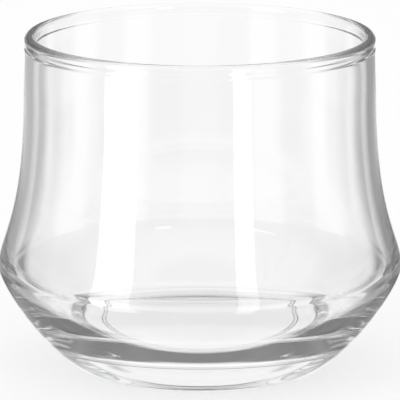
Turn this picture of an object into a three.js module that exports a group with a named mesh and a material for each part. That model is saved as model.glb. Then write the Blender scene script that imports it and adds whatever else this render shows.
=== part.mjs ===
// Clear drinking tumbler: a straight neck over a wide low belly and a thick base.
// It is one blown piece of glass, drawn as the zones that a glassmaker names.
// Each zone is a ring or disc round the Z axis, and meets the next on a flat level face.
import * as THREE from 'three';

// Driving dimensions of the outside, in millimetres and degrees
const height = 76.5;
const bellyRadius = 46;
const bellyHeight = 23.2;
const footRadius = 26.8;
const heelRadius = 3.8;
const flankAngle = 33.4;
const rimRadius = 39.75;
const neckTaper = 0.25;
const neckLength = 10.2;
const lipHeight = 3.5;
const partingStep = 0.25;

// Driving dimensions of the hollow
const lipThickness = 2.5;
const neckWall = 2.3;
const bellyWall = 3.1;
const floorWall = 9.8;
const floorThickness = 8.7;
const floorDish = 0.85;
const floorFillet = 7.8;
const hollowFlankAngle = 39.7;
const hollowBellyRise = 1;

// Driving dimensions of the underside
const footRingWidth = 2.45;
const recessStepWidth = 2.6;
const recessDepth = 0.9;
const recessCrown = 0.06;

// Pull of each curve's ends, as a share of the straight line between its ends
const flankPull = 0.361;
const flankBellyPull = 0.123;
const shoulderBellyPull = 0.147;
const shoulderNeckPull = 0.703;
const hollowFlankPull = 0.449;
const hollowBellyPull = 0.168;
const hollowShoulderPull = 0.115;
const hollowNeckPull = 0.694;
const floorPull = 0.33;
const recessStepPull = 0.915;
const crownPull = 0.4;
const crownEdgePull = 0.2;

// Facets round the axis and along each curve
const facetsRound = 72;
const curveFacets = 8;
const arcFacets = 4;

const point = (radius, level) => new THREE.Vector2(radius, level);
const radians = THREE.MathUtils.degToRad;

// A unit step at an angle from level, outwards and up
const heading = (degrees) => point(Math.cos(radians(degrees)), Math.sin(radians(degrees)));
const outwards = heading(0);
const up = heading(90);

// A smooth curve that leaves its start and reaches its end along given headings
function curve(start, startHeading, startPull, end, endHeading, endPull) {
  const span = start.distanceTo(end);
  const first = start.clone().addScaledVector(startHeading, startPull * span);
  const second = end.clone().addScaledVector(endHeading, -endPull * span);
  return new THREE.CubicBezierCurve(start, first, second, end).getPoints(curveFacets);
}

function arc(centre, radius, fromDegrees, toDegrees) {
  const clockwise = toDegrees < fromDegrees;
  const from = radians(fromDegrees);
  const to = radians(toDegrees);
  const circle = new THREE.EllipseCurve(centre.x, centre.y, radius, radius, from, to, clockwise);
  return circle.getPoints(arcFacets);
}

// Joins runs of points, each run starting where the last one ended
function join(...runs) {
  return runs.reduce((line, run) => line.concat(run.slice(1)));
}

// The radius of a line of points at one level
function radiusAt(line, level) {
  const next = line.findIndex((spot) => spot.y >= level);
  const above = line[next];
  if (above.y === level) return above.x;
  const below = line[next - 1];
  const share = (level - below.y) / (above.y - below.y);
  return below.x + share * (above.x - below.x);
}

// The stretch of a rising line of points between two levels
function stretch(line, low, high) {
  const inside = line.filter((spot) => spot.y > low && spot.y < high);
  return [point(radiusAt(line, low), low), ...inside, point(radiusAt(line, high), high)];
}

// Levels that divide the zones, and the neck's radius at its foot
const lipLevel = height - lipHeight;
const neckLevel = lipLevel - neckLength;
const neckRadius = rimRadius + neckTaper;

// Outside of the glass, rising from the foot to the lip's parting line
const heel = arc(point(footRadius, heelRadius), heelRadius, -90, flankAngle - 90);
const flankStart = heel.at(-1);
const belly = point(bellyRadius, bellyHeight);
const neck = point(neckRadius, neckLevel);
const outside = join(
  heel,
  curve(flankStart, heading(flankAngle), flankPull, belly, up, flankBellyPull),
  curve(belly, up, shoulderBellyPull, neck, up, shoulderNeckPull),
  [neck, point(rimRadius, lipLevel)],
);

// Hollow of the glass, rising from the floor to the lip
const floorRadius = radiusAt(outside, floorThickness) - floorWall;
const floorEdge = point(floorRadius, floorThickness);
const filletCentre = point(floorRadius, floorThickness + floorFillet);
const fillet = arc(filletCentre, floorFillet, -90, hollowFlankAngle - 90);
const hollowFlankStart = fillet.at(-1);
const hollowBelly = point(bellyRadius - bellyWall, bellyHeight + hollowBellyRise);
const hollowNeck = point(neckRadius - neckWall, neckLevel);
const hollowLip = point(rimRadius - lipThickness, lipLevel);
const hollow = join(
  [floorEdge],
  fillet,
  curve(hollowFlankStart, heading(hollowFlankAngle), hollowFlankPull, hollowBelly, up, hollowBellyPull),
  curve(hollowBelly, up, hollowShoulderPull, hollowNeck, up, hollowNeckPull),
  [hollowNeck, hollowLip],
);

// Lip bead: a small step in at the parting line, then a half-round top
const lipRound = lipThickness / 2;
const lipTop = arc(point(rimRadius - lipRound, height - lipRound), lipRound, 0, 90);
const lipInner = arc(point(rimRadius - lipRound, height - lipRound), lipRound, 90, 180);
const lipOutline = [
  point(rimRadius - partingStep, lipLevel),
  ...join(lipTop, lipInner),
  hollowLip,
];

// Underside: a shallow recess inside the flat foot ring, with a rounded step and a faint crown
const ringInner = point(footRadius - footRingWidth, 0);
const recessEdge = point(ringInner.x - recessStepWidth, recessDepth);
const crownTop = point(0, recessDepth + recessCrown);
const underside = join(
  curve(crownTop, outwards, crownPull, recessEdge, outwards, crownEdgePull),
  curve(recessEdge, outwards, recessStepPull, ringInner, outwards, recessStepPull),
);

// Base: the underside, the outside up to the floor's edge, and the slightly dished floor
const floorMiddle = point(0, floorThickness - floorDish);
const floor = curve(floorMiddle, outwards, floorPull, floorEdge, outwards, floorPull);
const baseOutline = [
  ...underside,
  ...stretch(outside, 0, floorThickness),
  ...floor.reverse(),
];

// A ring of wall between two levels, up the outside and down the hollow
function wallOutline(low, high) {
  return [...stretch(outside, low, high), ...stretch(hollow, low, high).reverse()];
}

function zone(name, outline, isRing) {
  const closed = isRing ? [...outline, outline[0].clone()] : outline;
  const geometry = new THREE.LatheGeometry(closed, facetsRound);
  geometry.rotateX(Math.PI / 2);
  const clearGlass = new THREE.MeshStandardMaterial({
    color: 0xf4f7f5,
    roughness: 0.03,
    metalness: 0,
    transparent: true,
    opacity: 0.3,
  });
  const mesh = new THREE.Mesh(geometry, clearGlass);
  mesh.name = name;
  return mesh;
}

const tumbler = new THREE.Group();
tumbler.add(
  zone('base', baseOutline, false),
  zone('lower_bowl', wallOutline(floorThickness, bellyHeight), true),
  zone('upper_bowl', wallOutline(bellyHeight, neckLevel), true),
  zone('neck_wall', wallOutline(neckLevel, lipLevel), true),
  zone('rim_lip', lipOutline, true),
);

export default tumbler;
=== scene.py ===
import bpy
import bmesh
from math import cos, pi, radians, sin, tan
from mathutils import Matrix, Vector
from mathutils.geometry import interpolate_bezier


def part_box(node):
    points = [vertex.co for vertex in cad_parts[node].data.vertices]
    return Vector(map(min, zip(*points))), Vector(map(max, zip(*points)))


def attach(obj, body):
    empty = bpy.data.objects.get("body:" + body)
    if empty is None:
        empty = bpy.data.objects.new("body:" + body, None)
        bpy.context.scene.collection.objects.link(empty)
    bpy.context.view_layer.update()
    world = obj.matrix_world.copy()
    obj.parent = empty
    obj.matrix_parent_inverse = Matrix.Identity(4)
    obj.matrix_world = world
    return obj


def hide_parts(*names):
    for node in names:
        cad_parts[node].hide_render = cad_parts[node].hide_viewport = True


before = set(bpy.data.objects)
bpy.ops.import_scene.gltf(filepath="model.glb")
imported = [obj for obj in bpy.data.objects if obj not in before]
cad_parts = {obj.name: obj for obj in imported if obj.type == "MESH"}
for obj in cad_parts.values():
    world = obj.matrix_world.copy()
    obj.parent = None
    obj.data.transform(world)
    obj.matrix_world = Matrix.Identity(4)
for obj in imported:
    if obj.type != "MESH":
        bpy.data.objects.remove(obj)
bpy.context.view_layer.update()        # the zones of the glass, in metres
scene = bpy.context.scene
scene.view_settings.view_transform = "Standard"
mm = 0.001
sameSpot = 1e-7          # metres within which two points count as one
zones = ["base", "lower_bowl", "upper_bowl", "neck_wall", "rim_lip"]
print("frame loaded:", ", ".join(sorted(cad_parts)))

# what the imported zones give
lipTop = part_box("rim_lip")[1][2]
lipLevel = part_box("rim_lip")[0][2]
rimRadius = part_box("rim_lip")[1][0]
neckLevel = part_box("neck_wall")[0][2]
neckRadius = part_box("neck_wall")[1][0]
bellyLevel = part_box("upper_bowl")[0][2]
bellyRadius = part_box("upper_bowl")[1][0]
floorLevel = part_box("base")[1][2]

glass = {
    "footRadius": 26.8 * mm,       # outer edge of the ring it stands on
    "footRing": 2.45 * mm,         # width of that ring
    "recessStep": 2.6 * mm,        # width of the rounded step inside the ring
    "recessDepth": 0.9 * mm,
    "recessCrown": 0.06 * mm,      # how much deeper the recess is in the middle
    "heelRadius": 3.8 * mm,
    "flankAngle": 33.4,            # degrees from level, where the flank leaves the heel
    "lipWall": 2.5 * mm,
    "partingStep": 0.25 * mm,      # how far the lip bead tucks in over its parting line
    "partingRise": 0.9 * mm,       # and over what height
    "neckWall": 2.3 * mm,
    "bellyWall": 3.1 * mm,
    "floorRadius": 27.7 * mm,      # where the floor meets its fillet
    "floorDish": 0.85 * mm,        # how far the middle of the floor lies below that edge
    "floorFillet": 7.8 * mm,
    "hollowAngle": 39.7,           # degrees from level, where the hollow leaves that fillet
    "hollowRise": 1.0 * mm,        # the hollow's widest circle over the outside's
    "curveSteps": 56,
    "cornerSteps": 20,
    "partingSteps": 8,
    "beadSteps": 6,
    "turns": 224,                  # facets round the axis
}

# how far each curve keeps to its end slopes, as a share of the straight line between its ends
pulls = {
    "flank": (0.361, 0.123),          # heel, belly
    "shoulder": (0.147, 0.703),       # belly, neck
    "innerShoulder": (0.694, 0.115),  # neck, belly
    "innerFlank": (0.168, 0.449),     # belly, floor
    "crown": (0.4, 0.2),              # middle, edge
    "recess": (0.915, 0.915),
    "floor": (0.33, 0.33),
    "bead": (0.4, 0.4),               # the lip, and the neck inside and out
}


def spot(radius, level):
    return Vector((radius, 0, level))


def slope(degrees):
    return Vector((cos(radians(degrees)), 0, sin(radians(degrees))))


# smooth run between two spots, leaving and arriving along given slopes
def run(start, leave, end, arrive, pull, steps):
    span = (end - start).length
    first = start + leave * pull[0] * span
    second = end - arrive * pull[1] * span
    return interpolate_bezier(start, first, second, end, steps + 1)


# round corner about a centre, from one bearing to another
def corner(centre, radius, bearing, endBearing, steps):
    turn = (endBearing - bearing) / steps
    return [centre + slope(bearing + turn * i) * radius for i in range(steps + 1)]


def joined(*runs):
    line = list(runs[0])
    for piece in runs[1:]:
        line += piece if (piece[0] - line[-1]).length > sameSpot else piece[1:]
    return line


# underside and outer wall, from the middle of the recess up to the parting line
def outsideLine(g):
    steps, few = g["curveSteps"], g["cornerSteps"]
    up, out = slope(90), slope(0)
    ringInner = spot(g["footRadius"] - g["footRing"], 0)
    recessEdge = spot(ringInner.x - g["recessStep"], g["recessDepth"])
    middle = spot(0, g["recessDepth"] + g["recessCrown"])
    crown = run(middle, out, recessEdge, out, pulls["crown"], few)
    recess = run(recessEdge, out, ringInner, out, pulls["recess"], few)
    heel = corner(spot(g["footRadius"], g["heelRadius"]), g["heelRadius"],
                  -90, g["flankAngle"] - 90, few)
    belly = spot(bellyRadius, bellyLevel)
    neck = spot(neckRadius, neckLevel)
    flank = run(heel[-1], slope(g["flankAngle"]), belly, up, pulls["flank"], steps)
    shoulder = run(belly, up, neck, up, pulls["shoulder"], steps)
    straight = run(neck, up, spot(rimRadius, lipLevel), up, pulls["bead"], few)
    return joined(crown, recess, heel, flank, shoulder, straight)


# the lip bead tucks in at the parting line and ends in a half-round top
def lipLine(g):
    up = slope(90)
    step = spot(rimRadius, lipLevel)
    tuck = spot(rimRadius - g["partingStep"], lipLevel + g["partingRise"])
    lipRound = g["lipWall"] / 2
    lipCentre = spot(rimRadius - lipRound, lipTop - lipRound)
    top = corner(lipCentre, lipRound, 0, 180, g["cornerSteps"])
    parting = run(step, up, tuck, up, pulls["bead"], g["partingSteps"])
    bead = run(tuck, up, top[0], up, pulls["bead"], g["beadSteps"])
    return joined(parting, bead, top)


# inner wall and floor, from the lip down to the axis
def hollowLine(g, lipEnd):
    steps, few = g["curveSteps"], g["cornerSteps"]
    down, inwards = slope(-90), slope(180)
    neck = spot(neckRadius - g["neckWall"], neckLevel)
    belly = spot(bellyRadius - g["bellyWall"], bellyLevel + g["hollowRise"])
    fillet = corner(spot(g["floorRadius"], floorLevel + g["floorFillet"]), g["floorFillet"],
                    g["hollowAngle"] - 90, -90, few)
    middle = spot(0, floorLevel - g["floorDish"])
    throat = run(lipEnd, down, neck, down, pulls["bead"], few)
    shoulder = run(neck, down, belly, down, pulls["innerShoulder"], steps)
    flank = run(belly, down, fillet[0], -slope(g["hollowAngle"]), pulls["innerFlank"], steps)
    floor = run(fillet[-1], inwards, middle, inwards, pulls["floor"], few)
    return joined(throat, shoulder, flank, fillet, floor)


def glassOutline(g):
    lip = lipLine(g)
    return joined(outsideLine(g), lip, hollowLine(g, lip[-1]))


def turnGlass(g):
    shape = bmesh.new()
    ring = [shape.verts.new(p) for p in glassOutline(g)]
    line = [shape.edges.new(pair) for pair in zip(ring, ring[1:])]
    bmesh.ops.spin(shape, geom=ring + line, cent=(0, 0, 0), axis=(0, 0, 1), angle=2 * pi,
                   steps=g["turns"], use_merge=True, use_duplicate=False)
    bmesh.ops.remove_doubles(shape, verts=shape.verts, dist=sameSpot)
    bmesh.ops.recalc_face_normals(shape, faces=shape.faces)
    mesh = bpy.data.meshes.new("tumbler")
    shape.to_mesh(mesh)
    shape.free()
    mesh.polygons.foreach_set("use_smooth", [True] * len(mesh.polygons))
    piece = bpy.data.objects.new("tumbler", mesh)
    scene.collection.objects.link(piece)
    return piece


# a socket takes a link from another socket, or a plain value
def feed(tree, socket, value):
    if hasattr(value, "is_output"):
        tree.links.new(value, socket)
    else:
        socket.default_value = value


# one maths node, fed by sockets or plain numbers
def calc(tree, operation, *values):
    maths = tree.nodes.new("ShaderNodeMath")
    maths.operation = operation
    for socket, value in zip(maths.inputs, values):
        feed(tree, socket, value)
    return maths.outputs[0]


# a value that eases from one level to another between two limits
def ease(tree, value, low, high, fromLevel, toLevel):
    ramp = tree.nodes.new("ShaderNodeMapRange")
    ramp.interpolation_type = "SMOOTHSTEP"
    for name, level in zip(("Value", "From Min", "From Max", "To Min", "To Max"),
                           (value, low, high, fromLevel, toLevel)):
        feed(tree, ramp.inputs[name], level)
    return ramp.outputs["Result"]


def blendOf(tree, share, first, second):
    mix = tree.nodes.new("ShaderNodeMix")
    mix.data_type = "FLOAT"
    for socket, value in zip(mix.inputs[:1] + mix.inputs[2:4], (share, first, second)):
        feed(tree, socket, value)
    return mix.outputs[0]


# fire-polished soda-lime glass: faint waves from the mould, faint smudges, a grey-green body
polish = {
    "ior": 1.52,
    "body": (0.42, 0.48, 0.44),    # what is left of white light after a long way through the glass
    "bodyDensity": 1.5,            # per metre
    "waves": 45,                   # per metre round the wall
    "waveStretch": 0.25,           # waves run up the wall, so they are longer that way
    "waveDetail": 1,
    "waveHeight": 0.012 * mm,
    "smudges": 60,                 # per metre
    "smudgeStretch": 1,
    "smudgeDetail": 4,
    "roughEdge": (0.52, 0.72),     # cloud values between which the polish gets rougher
    "smudgeRough": (0.0, 0.012),   # roughness of clean and smudged glass
    "whiteEdge": (0.5, 0.75),      # the same for its colour
    "smudgeWhite": (1.0, 0.985),
}


# soft cloudy pattern on the piece's own coordinates, stretched along the axis
def clouds(tree, scale, stretch, detail):
    where = tree.nodes.new("ShaderNodeTexCoord").outputs["Object"]
    fit = tree.nodes.new("ShaderNodeMapping")
    fit.inputs["Scale"].default_value = (1, 1, stretch)
    noise = tree.nodes.new("ShaderNodeTexNoise")
    noise.inputs["Scale"].default_value = scale
    noise.inputs["Detail"].default_value = detail
    tree.links.new(where, fit.inputs["Vector"])
    tree.links.new(fit.outputs[0], noise.inputs["Vector"])
    return noise.outputs[0]


def clearGlass(p):
    finish = bpy.data.materials.new("clear_glass")
    finish.use_nodes = True
    tree = finish.node_tree
    shader = tree.nodes["Principled BSDF"]
    shader.inputs["IOR"].default_value = p["ior"]
    shader.inputs["Transmission Weight"].default_value = 1.0
    smudge = clouds(tree, p["smudges"], p["smudgeStretch"], p["smudgeDetail"])
    feed(tree, shader.inputs["Roughness"], ease(tree, smudge, *p["roughEdge"], *p["smudgeRough"]))
    feed(tree, shader.inputs["Base Color"], ease(tree, smudge, *p["whiteEdge"], *p["smudgeWhite"]))
    wave = tree.nodes.new("ShaderNodeBump")
    wave.inputs["Distance"].default_value = p["waveHeight"]
    feed(tree, wave.inputs["Height"], clouds(tree, p["waves"], p["waveStretch"], p["waveDetail"]))
    feed(tree, shader.inputs["Normal"], wave.outputs[0])
    body = tree.nodes.new("ShaderNodeVolumeAbsorption")
    body.inputs["Color"].default_value = (*p["body"], 1)
    body.inputs["Density"].default_value = p["bodyDensity"]
    tree.links.new(body.outputs[0], tree.nodes["Material Output"].inputs["Volume"])
    return finish


tumbler = turnGlass(glass)
tumbler.data.materials.append(clearGlass(polish))
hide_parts(*zones)
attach(tumbler, "root")
print("glass turned:", len(tumbler.data.polygons), "faces")

camera = {
    "distance": 1.1,
    "pitch": 12.627,         # degrees down
    "aim": 37.85 * mm,       # level on the axis that it looks at
    "lens": 434.66,          # a lens counts in millimetres
    "nearest": 0.01,
}


def placeCamera(c):
    data = bpy.data.cameras.new("camera")
    data.lens = c["lens"]
    data.clip_start = c["nearest"]
    eye = bpy.data.objects.new("camera", data)
    scene.collection.objects.link(eye)
    aim = Vector((0, 0, c["aim"]))
    back = Vector((0, -cos(radians(c["pitch"])), sin(radians(c["pitch"]))))
    eye.location = aim + back * c["distance"]
    eye.rotation_euler = (-back).to_track_quat("-Z", "Y").to_euler()
    scene.camera = eye


placeCamera(camera)
print("camera placed")

# what the glass shows of the room: white panels all round, grey between them, a dark wall over
# them, a white ceiling and a white table. Angles are degrees: bearings from straight ahead of the
# camera, heights from level. A pair of angles is where a change starts and where it is complete,
# unless its note says otherwise.
studio = {
    "widePanels": 4,               # evenly round, the first straight ahead
    "wideEdge": (9, 15),           # from a wide panel's middle
    "slimFrom": (3, 7),            # where a slim panel, between two wide ones, starts to fade: front, back
    "slimTo": (8, 13),             # and where it has faded: front, back
    "slimWhite": (0.85, 0.95),     # front, back
    "backHalf": (80, 105),         # where front values pass into back ones
    "cameraSide": (150, 162),      # where the wide panel gets dimmer
    "cameraWhite": 0.55,
    "grey": (0.49, 0.36),          # left and right of a wide panel
    "shadeTop": (-15.5, -13),      # the front grey is darker under this
    "shadeBottom": (-23, -19),     # and over this
    "shadeLeft": 0.3,              # share of the grey that is left there
    "panelTop": (2, 7),            # where the panels give way to the wall
    "aside": (10, 36),             # where values ahead pass into values aside
    "wall": (0.22, 0.09),          # ahead, aside
    "ceilingFrom": (20, 32),       # where the ceiling starts: ahead, aside
    "ceilingTo": (28, 50),         # and where it is white: ahead, aside
    "ceilingEnd": (66, 76),
    "overhead": 0.05,
    "table": (-44, -29),           # white under this
}


# eases between two limits in degrees
def fade(tree, angle, limits, fromLevel, toLevel):
    return ease(tree, angle, *map(radians, limits), fromLevel, toLevel)


def angleOf(tree, share, degrees):
    return blendOf(tree, share, *map(radians, degrees))


# share of the grey that is left, less in a low belt of the front half
def greyLeft(tree, s, height, front):
    belt = calc(tree, "MULTIPLY", fade(tree, height, s["shadeTop"], 1.0, 0.0),
                fade(tree, height, s["shadeBottom"], 0.0, 1.0))
    return blendOf(tree, calc(tree, "MULTIPLY", belt, front), 1.0, s["shadeLeft"])


def panelsAround(tree, s, bearing, turned, height, back, front):
    turn = 2 * pi / s["widePanels"]
    count = calc(tree, "DIVIDE", bearing, turn)
    part = calc(tree, "SUBTRACT", count, calc(tree, "ROUND", count))
    offset = calc(tree, "MULTIPLY", part, turn)        # bearing from the nearest wide panel
    fromWide = calc(tree, "ABSOLUTE", offset)
    fromSlim = calc(tree, "SUBTRACT", turn / 2, fromWide)
    sideGrey = blendOf(tree, calc(tree, "GREATER_THAN", offset, 0.0), *s["grey"])
    grey = calc(tree, "MULTIPLY", sideGrey, greyLeft(tree, s, height, front))
    wideWhite = fade(tree, turned, s["cameraSide"], 1.0, s["cameraWhite"])
    onWide = fade(tree, fromWide, s["wideEdge"], 1.0, 0.0)
    onSlim = ease(tree, fromSlim, angleOf(tree, back, s["slimFrom"]),
                  angleOf(tree, back, s["slimTo"]), 1.0, 0.0)
    withWide = blendOf(tree, onWide, grey, wideWhite)
    return blendOf(tree, onSlim, withWide, blendOf(tree, back, *s["slimWhite"]))


def wallAndCeiling(tree, s, turned, height, front):
    aside = fade(tree, turned, s["aside"], 0.0, 1.0)
    wall = blendOf(tree, calc(tree, "MULTIPLY", aside, front), *s["wall"])
    ceiling = ease(tree, height, angleOf(tree, aside, s["ceilingFrom"]),
                   angleOf(tree, aside, s["ceilingTo"]), wall, 1.0)
    return blendOf(tree, fade(tree, height, s["ceilingEnd"], 0.0, 1.0), ceiling, s["overhead"])


# plain white to the camera, the room to rays that come through or off the glass
def lightRoom(s):
    world = bpy.data.worlds.new("studio")
    world.use_nodes = True
    scene.world = world
    tree = world.node_tree
    toward = tree.nodes.new("ShaderNodeTexCoord").outputs["Generated"]
    split = tree.nodes.new("ShaderNodeSeparateXYZ")
    feed(tree, split.inputs[0], toward)
    bearing = calc(tree, "ARCTAN2", split.outputs["X"], split.outputs["Y"])
    height = calc(tree, "ARCSINE", split.outputs["Z"])
    turned = calc(tree, "ABSOLUTE", bearing)
    back = fade(tree, turned, s["backHalf"], 0.0, 1.0)
    front = calc(tree, "SUBTRACT", 1.0, back)
    panels = panelsAround(tree, s, bearing, turned, height, back, front)
    above = wallAndCeiling(tree, s, turned, height, front)
    walls = blendOf(tree, fade(tree, height, s["panelTop"], 0.0, 1.0), panels, above)
    room = blendOf(tree, fade(tree, height, s["table"], 1.0, 0.0), walls, 1.0)
    path = tree.nodes.new("ShaderNodeLightPath")
    inGlass = calc(tree, "MAXIMUM", path.outputs["Is Glossy Ray"], path.outputs["Is Transmission Ray"])
    backdrop = tree.nodes["Background"]
    backdrop.inputs["Color"].default_value = (1, 1, 1, 1)
    feed(tree, backdrop.inputs["Strength"], blendOf(tree, inGlass, 1.0, room))


paper = {
    "size": 6,
    "white": (0.9, 0.9, 0.9),
    "rough": 0.9,
    "glow": 0.75,            # share of plain white over the lit paper, to the camera
    "drop": 0.1 * mm,        # keeps the paper just clear of the foot
}


def layFloor(p):
    shape = bmesh.new()
    bmesh.ops.create_grid(shape, x_segments=1, y_segments=1, size=p["size"] / 2)
    bmesh.ops.translate(shape, verts=shape.verts, vec=(0, 0, -p["drop"]))
    mesh = bpy.data.meshes.new("floor")
    shape.to_mesh(mesh)
    shape.free()
    floor = bpy.data.objects.new("floor", mesh)
    scene.collection.objects.link(floor)
    finish = bpy.data.materials.new("white_paper")
    finish.use_nodes = True
    tree = finish.node_tree
    lit = tree.nodes["Principled BSDF"]
    lit.inputs["Base Color"].default_value = (*p["white"], 1)
    lit.inputs["Roughness"].default_value = p["rough"]
    glow = tree.nodes.new("ShaderNodeEmission")
    both = tree.nodes.new("ShaderNodeMixShader")
    path = tree.nodes.new("ShaderNodeLightPath")
    feed(tree, both.inputs[0], calc(tree, "MULTIPLY", path.outputs["Is Camera Ray"], p["glow"]))
    tree.links.new(lit.outputs[0], both.inputs[1])
    tree.links.new(glow.outputs[0], both.inputs[2])
    tree.links.new(both.outputs[0], tree.nodes["Material Output"].inputs["Surface"])
    mesh.materials.append(finish)
    floor.visible_glossy = False
    floor.visible_transmission = False


# tall softboxes in front, which the outside of the glass shows as two bright strips;
# their bearings are degrees from the camera's side, positive to the right
softboxes = {
    "left": {"bearing": -51.6, "halfWidth": 12.1, "light": 2.7},
    "right": {"bearing": 27, "halfWidth": 6, "light": 2.7},
}
softboxReach = {"distance": 1.5, "low": -40, "high": 42}     # from so many degrees down to so many up


def hangSoftbox(name, box, reach):
    data = bpy.data.lights.new(name, "AREA")
    data.shape = "RECTANGLE"
    data.size = 2 * reach["distance"] * tan(radians(box["halfWidth"]))
    top = reach["distance"] * tan(radians(reach["high"]))
    bottom = reach["distance"] * tan(radians(reach["low"]))
    data.size_y = top - bottom
    data.energy = box["light"] * pi * data.size * data.size_y     # watts for that radiance
    lamp = bpy.data.objects.new(name, data)
    scene.collection.objects.link(lamp)
    side = radians(box["bearing"])
    outward = Vector((sin(side), -cos(side), 0))
    lamp.location = outward * reach["distance"] + Vector((0, 0, (top + bottom) / 2))
    lamp.rotation_euler = outward.to_track_quat("Z", "Y").to_euler()
    lamp.visible_camera = False
    lamp.visible_transmission = False


lightRoom(studio)
layFloor(paper)
for name, box in softboxes.items():
    hangSoftbox("softbox_" + name, box, softboxReach)
bounces = 128            # light runs a long way inside the wall
for kind in ("max", "transmission", "glossy"):
    setattr(scene.cycles, kind + "_bounces", bounces)
print("studio lit")
